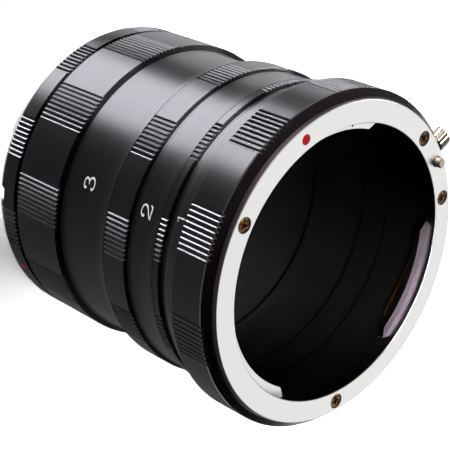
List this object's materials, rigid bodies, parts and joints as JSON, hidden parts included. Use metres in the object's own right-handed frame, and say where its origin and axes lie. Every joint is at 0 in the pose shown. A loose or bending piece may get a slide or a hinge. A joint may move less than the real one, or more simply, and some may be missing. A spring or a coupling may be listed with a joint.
{
  "type": "macro extension tube",
  "caption": "Stack of screwed black metal tube sections with grooved grip bands, a bayonet plate with sprung lock pin at the lens end and a bayonet collar at the camera end.",
  "frame": {"origin": "centre of the collar bore at its rear end, the end it stands on", "axes": "+Z along the optical axis towards the lens end; X and Y across it"},
  "size_m": [0.066, 0.066, 0.0724],
  "materials": {
    "black_anodised": "satin black anodised, turned and milled",
    "chrome": "satin chrome plated brass, face turned flat",
    "screw": "dark bronzed",
    "steel": "turned, nickel bright",
    "spring_bronze": "rolled strip",
    "red_enamel": "gloss enamel"
  },
  "bodies": {
    "camera_mount": {"camera_bayonet": "chrome", "camera_ring": "black_anodised", "camera_screw_1": "screw", "camera_screw_2": "screw", "camera_screw_3": "screw", "camera_screw_4": "screw", "camera_index_dot": "red_enamel"},
    "tube_3": {"tube_3": "black_anodised"},
    "tube_2": {"tube_2": "black_anodised"},
    "tube_1": {"tube_1": "black_anodised"},
    "lens_mount": {"lens_ring": "black_anodised", "lens_bayonet": "chrome", "lens_screw_1": "screw", "lens_screw_2": "screw", "lens_screw_3": "screw", "lens_screw_4": "screw", "lens_index_dot": "red_enamel", "leaf_spring_1": "spring_bronze", "leaf_spring_2": "spring_bronze", "leaf_spring_3": "spring_bronze", "lock_spring": "steel"},
    "lock": {"lock_pin": "steel", "release_knob": "steel"}
  },
  "joints": [
    {"name": "tube_3_unscrew", "type": "slide", "parent": "camera_mount", "child": "tube_3", "axis": [0, 0, 1], "range_m": [0, 0.005]},
    {"name": "tube_2_unscrew", "type": "slide", "parent": "tube_3", "child": "tube_2", "axis": [0, 0, 1], "range_m": [0, 0.005]},
    {"name": "tube_1_unscrew", "type": "slide", "parent": "tube_2", "child": "tube_1", "axis": [0, 0, 1], "range_m": [0, 0.005]},
    {"name": "lens_mount_unscrew", "type": "slide", "parent": "tube_1", "child": "lens_mount", "axis": [0, 0, 1], "range_m": [0, 0.005]},
    {"name": "lock_release", "type": "slide", "parent": "lens_mount", "child": "lock", "axis": [0, 0, -1], "range_m": [0, 0.0015], "stiffness_N_per_m": 700, "springref_m": -0.001, "deforming": ["lock_spring"]}
  ]
}
